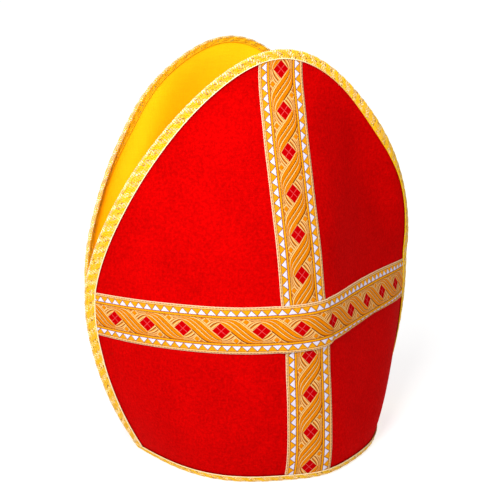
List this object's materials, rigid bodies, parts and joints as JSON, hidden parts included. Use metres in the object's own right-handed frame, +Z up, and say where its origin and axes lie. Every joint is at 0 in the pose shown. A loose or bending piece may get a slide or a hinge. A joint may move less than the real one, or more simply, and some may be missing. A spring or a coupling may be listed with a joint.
{
  "type": "bishop mitre",
  "caption": "Folding bishop's mitre of two rounded red panels, lined in yellow, edged with gold braid and crossed with woven ribbon.",
  "frame": {"origin": "centre of the part's box at the height of the hem, so the mitre stands on Z = 0", "axes": "+Z up from the hem to the points, -Y out of the front, +X to the right seen from the front's own side"},
  "size_m": [0.2782, 0.227, 0.314],
  "materials": {
    "red_felt": "short napped felt",
    "yellow_lining": "smooth matt lining cloth",
    "gold_braid": "metallic thread braid",
    "gold_ribbon": "woven figured ribbon"
  },
  "bodies": {
    "root": {"front_panel": "red_felt", "back_panel": "red_felt", "front_lining": "yellow_lining", "back_lining": "yellow_lining", "front_edge_braid": "gold_braid", "back_edge_braid": "gold_braid", "hem_braid": "gold_braid", "front_upright_ribbon": "gold_ribbon", "back_upright_ribbon": "gold_ribbon", "front_crossbar_ribbon": "gold_ribbon", "back_crossbar_ribbon": "gold_ribbon"}
  },
  "joints": []
}
